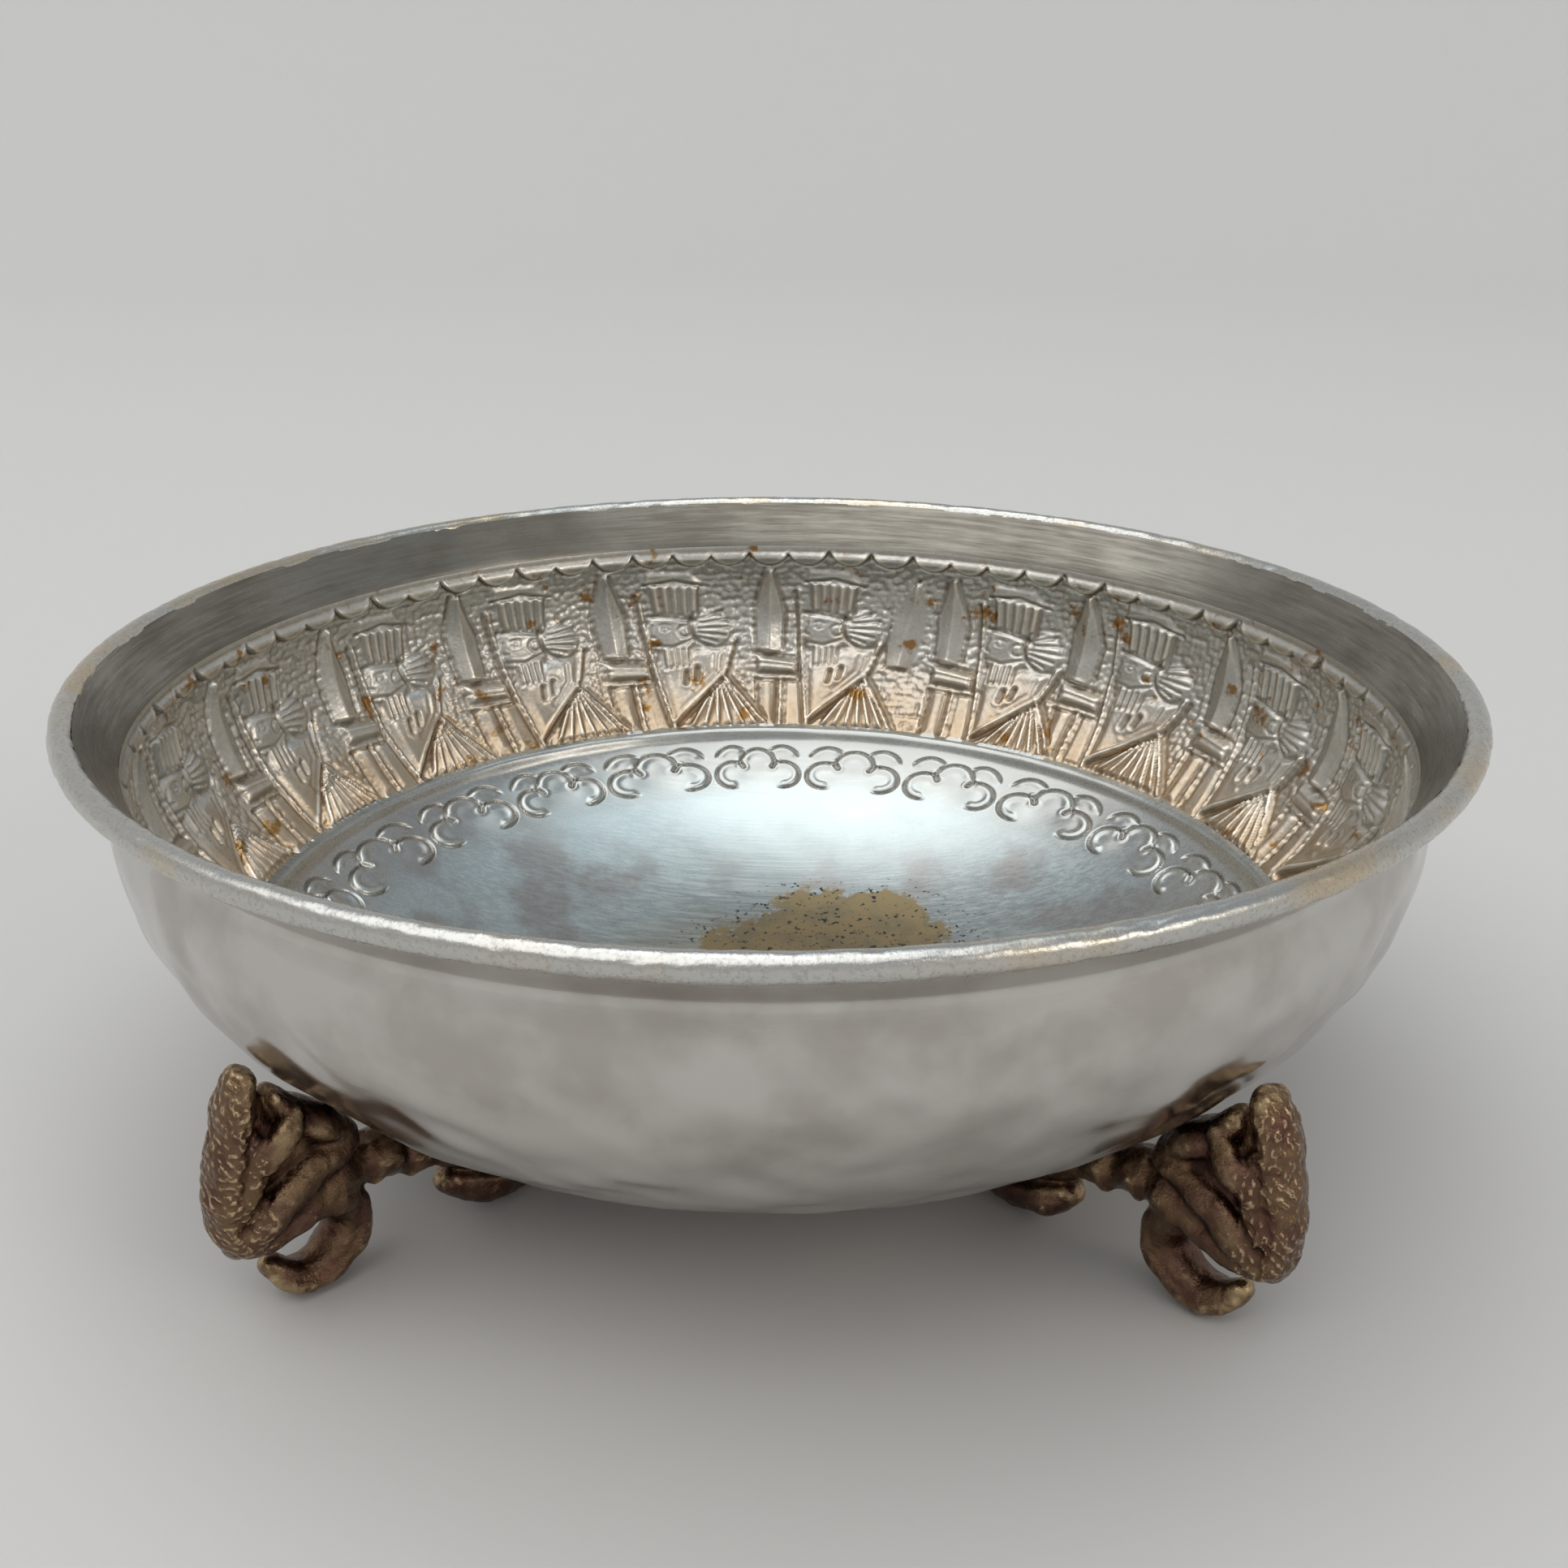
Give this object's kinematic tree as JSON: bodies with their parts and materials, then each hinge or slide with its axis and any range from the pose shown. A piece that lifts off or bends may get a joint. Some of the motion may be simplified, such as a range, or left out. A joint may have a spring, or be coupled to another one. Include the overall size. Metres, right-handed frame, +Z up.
{
  "type": "singing bowl",
  "caption": "Wide shallow metal bowl with a rolled rim and chased walls, standing loose in a low cast stand with leaf feet.",
  "frame": {"origin": "on the floor under the bowl's axis", "axes": "+Z up along the bowl's axis; the feet stand on the diagonals between +X and +Y, and the front is -Y"},
  "size_m": [0.16, 0.16, 0.0563],
  "materials": {
    "tinned_sheet": "polished tin over brass, satin inside, chased",
    "rim_wire": "drawn",
    "cast_bronze": "rough cast, dark patina with rubbed highlights",
    "hub_sheet": "dull sheet",
    "rivets": "hammered"
  },
  "bodies": {
    "stand": {"back_right_foot": "cast_bronze", "back_left_foot": "cast_bronze", "front_left_foot": "cast_bronze", "front_right_foot": "cast_bronze", "hub_plate": "hub_sheet", "inner_rivet_1": "rivets", "outer_rivet_1": "rivets", "inner_rivet_2": "rivets", "outer_rivet_2": "rivets", "inner_rivet_3": "rivets", "outer_rivet_3": "rivets", "inner_rivet_4": "rivets", "outer_rivet_4": "rivets"},
    "bowl": {"bowl_shell": "tinned_sheet", "rim_wire": "rim_wire"}
  },
  "joints": [
    {"name": "bowl_lift", "type": "slide", "parent": "stand", "child": "bowl", "axis": [0, 0, 1], "range_m": [0, 0.06]}
  ]
}
